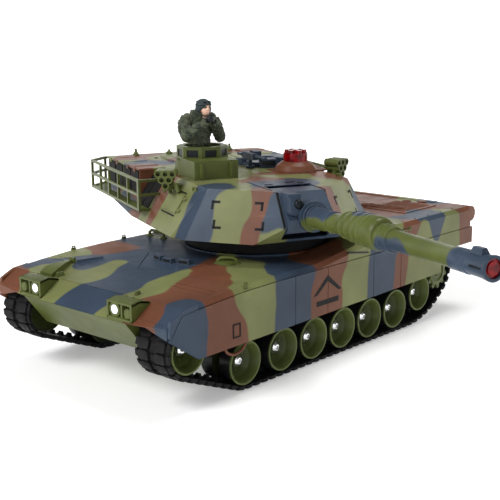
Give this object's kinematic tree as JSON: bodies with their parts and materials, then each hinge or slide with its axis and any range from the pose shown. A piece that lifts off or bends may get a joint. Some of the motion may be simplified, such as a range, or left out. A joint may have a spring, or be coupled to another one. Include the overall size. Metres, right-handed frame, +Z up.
{
  "type": "rc battle tank",
  "caption": "Radio-controlled battle tank with turning turret, elevating gun, rolling road wheels, rubber tracks, lamps and a commander figure.",
  "frame": {"origin": "on the ground, in the middle of the whole model's box with the turret as stored; the turret ring's axis is at X = 0", "axes": "+X out of the hull's bow, +Y to port, +Z up; the gun is stored 65.6 degrees to port"},
  "size_m": [0.3143, 0.4087, 0.1579],
  "materials": {
    "camouflage_paint": "matte",
    "olive_plastic": "satin",
    "wheel_plastic": "satin",
    "track_rubber": "matte",
    "gear_nylon": "satin",
    "gearbox_plastic": "matte",
    "screw_steel": "polished",
    "motor_steel": "satin",
    "clear_lens": "gloss",
    "red_lens": "gloss",
    "cell_wrap": "gloss",
    "board": "satin",
    "dark_plastic": "matte",
    "figure_plastic": "matte"
  },
  "bodies": {
    "hull": {"battery_door": "olive_plastic", "battery_pack": "cell_wrap", "circuit_board": "board", "gearbox_left": "gearbox_plastic", "gearbox_right": "gearbox_plastic", "headlight_guards": "olive_plastic", "headlight_lenses": "clear_lens", "hull_motors": "motor_steel", "hull_screws": "screw_steel", "lower_hull": "olive_plastic", "rear_plate": "olive_plastic", "side_skirt_left": "camouflage_paint", "side_skirt_right": "camouflage_paint", "speaker": "dark_plastic", "track_left": "track_rubber", "track_right": "track_rubber", "upper_hull": "camouflage_paint", "wheel_screws": "screw_steel"},
    "sprocket_left": {"sprocket_left": "wheel_plastic", "output_gear_left": "gear_nylon"},
    "road_wheel_left_1": {"road_wheel_left_1": "wheel_plastic"},
    "road_wheel_left_2": {"road_wheel_left_2": "wheel_plastic"},
    "road_wheel_left_3": {"road_wheel_left_3": "wheel_plastic"},
    "road_wheel_left_4": {"road_wheel_left_4": "wheel_plastic"},
    "road_wheel_left_5": {"road_wheel_left_5": "wheel_plastic"},
    "road_wheel_left_6": {"road_wheel_left_6": "wheel_plastic"},
    "road_wheel_left_7": {"road_wheel_left_7": "wheel_plastic"},
    "idler_wheel_left": {"idler_wheel_left": "wheel_plastic"},
    "reduction_gear_left": {"reduction_gear_left": "gear_nylon"},
    "motor_pinion_left": {"motor_pinion_left": "gear_nylon"},
    "sprocket_right": {"sprocket_right": "wheel_plastic", "output_gear_right": "gear_nylon"},
    "road_wheel_right_1": {"road_wheel_right_1": "wheel_plastic"},
    "road_wheel_right_2": {"road_wheel_right_2": "wheel_plastic"},
    "road_wheel_right_3": {"road_wheel_right_3": "wheel_plastic"},
    "road_wheel_right_4": {"road_wheel_right_4": "wheel_plastic"},
    "road_wheel_right_5": {"road_wheel_right_5": "wheel_plastic"},
    "road_wheel_right_6": {"road_wheel_right_6": "wheel_plastic"},
    "road_wheel_right_7": {"road_wheel_right_7": "wheel_plastic"},
    "idler_wheel_right": {"idler_wheel_right": "wheel_plastic"},
    "reduction_gear_right": {"reduction_gear_right": "gear_nylon"},
    "motor_pinion_right": {"motor_pinion_right": "gear_nylon"},
    "turret": {"turret_shell": "camouflage_paint", "turret_base": "olive_plastic", "turret_ring_gear": "gear_nylon", "cupola_ring": "olive_plastic", "sight_housing": "olive_plastic", "receiver_base": "camouflage_paint", "receiver_lens": "red_lens", "smoke_launchers": "olive_plastic", "bustle_rack": "olive_plastic", "loader_hatch": "dark_plastic", "commander": "figure_plastic", "elevation_motor": "motor_steel"},
    "gun": {"gun_mantlet": "camouflage_paint", "gun_barrel": "camouflage_paint", "muzzle_lens": "red_lens"},
    "traverse_pinion": {"traverse_pinion": "gear_nylon"},
    "machine_gun": {"machine_gun": "dark_plastic"},
    "power_switch": {"power_switch": "dark_plastic"}
  },
  "joints": [
    {"name": "sprocket_left_spin", "type": "hinge", "parent": "hull", "child": "sprocket_left", "pos_m": [-0.113, -0.03335, 0.033], "axis": [0, 1, 0], "continuous": true},
    {"name": "road_wheel_left_1_spin", "type": "hinge", "parent": "hull", "child": "road_wheel_left_1", "pos_m": [0.0921, -0.03335, 0.0168], "axis": [0, 1, 0], "continuous": true},
    {"name": "road_wheel_left_2_spin", "type": "hinge", "parent": "hull", "child": "road_wheel_left_2", "pos_m": [0.0588, -0.03335, 0.0168], "axis": [0, 1, 0], "continuous": true},
    {"name": "road_wheel_left_3_spin", "type": "hinge", "parent": "hull", "child": "road_wheel_left_3", "pos_m": [0.0294, -0.03335, 0.0168], "axis": [0, 1, 0], "continuous": true},
    {"name": "road_wheel_left_4_spin", "type": "hinge", "parent": "hull", "child": "road_wheel_left_4", "pos_m": [0, -0.03335, 0.0168], "axis": [0, 1, 0], "continuous": true},
    {"name": "road_wheel_left_5_spin", "type": "hinge", "parent": "hull", "child": "road_wheel_left_5", "pos_m": [-0.0294, -0.03335, 0.0168], "axis": [0, 1, 0], "continuous": true},
    {"name": "road_wheel_left_6_spin", "type": "hinge", "parent": "hull", "child": "road_wheel_left_6", "pos_m": [-0.0588, -0.03335, 0.0168], "axis": [0, 1, 0], "continuous": true},
    {"name": "road_wheel_left_7_spin", "type": "hinge", "parent": "hull", "child": "road_wheel_left_7", "pos_m": [-0.089, -0.03335, 0.0218], "axis": [0, 1, 0], "continuous": true},
    {"name": "idler_wheel_left_spin", "type": "hinge", "parent": "hull", "child": "idler_wheel_left", "pos_m": [0.1373, -0.03335, 0.0346], "axis": [0, 1, 0], "continuous": true},
    {"name": "reduction_gear_left_spin", "type": "hinge", "parent": "hull", "child": "reduction_gear_left", "pos_m": [-0.0996, -0.03335, 0.03585], "axis": [0, 1, 0], "continuous": true},
    {"name": "motor_pinion_left_spin", "type": "hinge", "parent": "hull", "child": "motor_pinion_left", "pos_m": [-0.08868, -0.03335, 0.03292], "axis": [0, 1, 0], "continuous": true},
    {"name": "sprocket_right_spin", "type": "hinge", "parent": "hull", "child": "sprocket_right", "pos_m": [-0.113, -0.03335, 0.033], "axis": [0, 1, 0], "continuous": true},
    {"name": "road_wheel_right_1_spin", "type": "hinge", "parent": "hull", "child": "road_wheel_right_1", "pos_m": [0.0921, -0.03335, 0.0168], "axis": [0, 1, 0], "continuous": true},
    {"name": "road_wheel_right_2_spin", "type": "hinge", "parent": "hull", "child": "road_wheel_right_2", "pos_m": [0.0588, -0.03335, 0.0168], "axis": [0, 1, 0], "continuous": true},
    {"name": "road_wheel_right_3_spin", "type": "hinge", "parent": "hull", "child": "road_wheel_right_3", "pos_m": [0.0294, -0.03335, 0.0168], "axis": [0, 1, 0], "continuous": true},
    {"name": "road_wheel_right_4_spin", "type": "hinge", "parent": "hull", "child": "road_wheel_right_4", "pos_m": [0, -0.03335, 0.0168], "axis": [0, 1, 0], "continuous": true},
    {"name": "road_wheel_right_5_spin", "type": "hinge", "parent": "hull", "child": "road_wheel_right_5", "pos_m": [-0.0294, -0.03335, 0.0168], "axis": [0, 1, 0], "continuous": true},
    {"name": "road_wheel_right_6_spin", "type": "hinge", "parent": "hull", "child": "road_wheel_right_6", "pos_m": [-0.0588, -0.03335, 0.0168], "axis": [0, 1, 0], "continuous": true},
    {"name": "road_wheel_right_7_spin", "type": "hinge", "parent": "hull", "child": "road_wheel_right_7", "pos_m": [-0.089, -0.03335, 0.0218], "axis": [0, 1, 0], "continuous": true},
    {"name": "idler_wheel_right_spin", "type": "hinge", "parent": "hull", "child": "idler_wheel_right", "pos_m": [0.1373, -0.03335, 0.0346], "axis": [0, 1, 0], "continuous": true},
    {"name": "reduction_gear_right_spin", "type": "hinge", "parent": "hull", "child": "reduction_gear_right", "pos_m": [-0.0996, -0.03335, 0.03585], "axis": [0, 1, 0], "continuous": true},
    {"name": "motor_pinion_right_spin", "type": "hinge", "parent": "hull", "child": "motor_pinion_right", "pos_m": [-0.08868, -0.03335, 0.03292], "axis": [0, 1, 0], "continuous": true},
    {"name": "turret_traverse", "type": "hinge", "parent": "hull", "child": "turret", "pos_m": [0, -0.03335, 0.077], "axis": [0, 0, 1], "range_deg": [-225.6, 94.4]},
    {"name": "gun_elevation", "type": "hinge", "parent": "turret", "child": "gun", "pos_m": [0.02148, 0.014, 0.093], "axis": [0.9107, -0.4131, 0], "range_deg": [-5.4, 13.1]},
    {"name": "traverse_pinion_spin", "type": "hinge", "parent": "hull", "child": "traverse_pinion", "pos_m": [-0.0501, -0.03335, 0.057], "axis": [0, 0, 1], "range_deg": [-700, 1660]},
    {"name": "machine_gun_swivel", "type": "hinge", "parent": "turret", "child": "machine_gun", "pos_m": [-0.02708, -0.0628, 0.1076], "axis": [0, 0, 1], "range_deg": [-40, 60]},
    {"name": "power_switch_slide", "type": "slide", "parent": "hull", "child": "power_switch", "axis": [1, 0, 0], "range_m": [0, 0.006]}
  ],
  "couplings": [
    {"joint": "road_wheel_left_1_spin", "follows": "sprocket_left_spin", "ratio": 0.98462},
    {"joint": "road_wheel_left_2_spin", "follows": "sprocket_left_spin", "ratio": 0.98462},
    {"joint": "road_wheel_left_3_spin", "follows": "sprocket_left_spin", "ratio": 0.98462},
    {"joint": "road_wheel_left_4_spin", "follows": "sprocket_left_spin", "ratio": 0.98462},
    {"joint": "road_wheel_left_5_spin", "follows": "sprocket_left_spin", "ratio": 0.98462},
    {"joint": "road_wheel_left_6_spin", "follows": "sprocket_left_spin", "ratio": 0.98462},
    {"joint": "road_wheel_left_7_spin", "follows": "sprocket_left_spin", "ratio": 1.0492},
    {"joint": "idler_wheel_left_spin", "follows": "sprocket_left_spin", "ratio": 0.98462},
    {"joint": "reduction_gear_left_spin", "follows": "sprocket_left_spin", "ratio": -2.4},
    {"joint": "motor_pinion_left_spin", "follows": "sprocket_left_spin", "ratio": 6},
    {"joint": "road_wheel_right_1_spin", "follows": "sprocket_right_spin", "ratio": 0.98462},
    {"joint": "road_wheel_right_2_spin", "follows": "sprocket_right_spin", "ratio": 0.98462},
    {"joint": "road_wheel_right_3_spin", "follows": "sprocket_right_spin", "ratio": 0.98462},
    {"joint": "road_wheel_right_4_spin", "follows": "sprocket_right_spin", "ratio": 0.98462},
    {"joint": "road_wheel_right_5_spin", "follows": "sprocket_right_spin", "ratio": 0.98462},
    {"joint": "road_wheel_right_6_spin", "follows": "sprocket_right_spin", "ratio": 0.98462},
    {"joint": "road_wheel_right_7_spin", "follows": "sprocket_right_spin", "ratio": 1.0492},
    {"joint": "idler_wheel_right_spin", "follows": "sprocket_right_spin", "ratio": 0.98462},
    {"joint": "reduction_gear_right_spin", "follows": "sprocket_right_spin", "ratio": -2.4},
    {"joint": "motor_pinion_right_spin", "follows": "sprocket_right_spin", "ratio": 6},
    {"joint": "traverse_pinion_spin", "follows": "turret_traverse", "ratio": -7.3333}
  ]
}
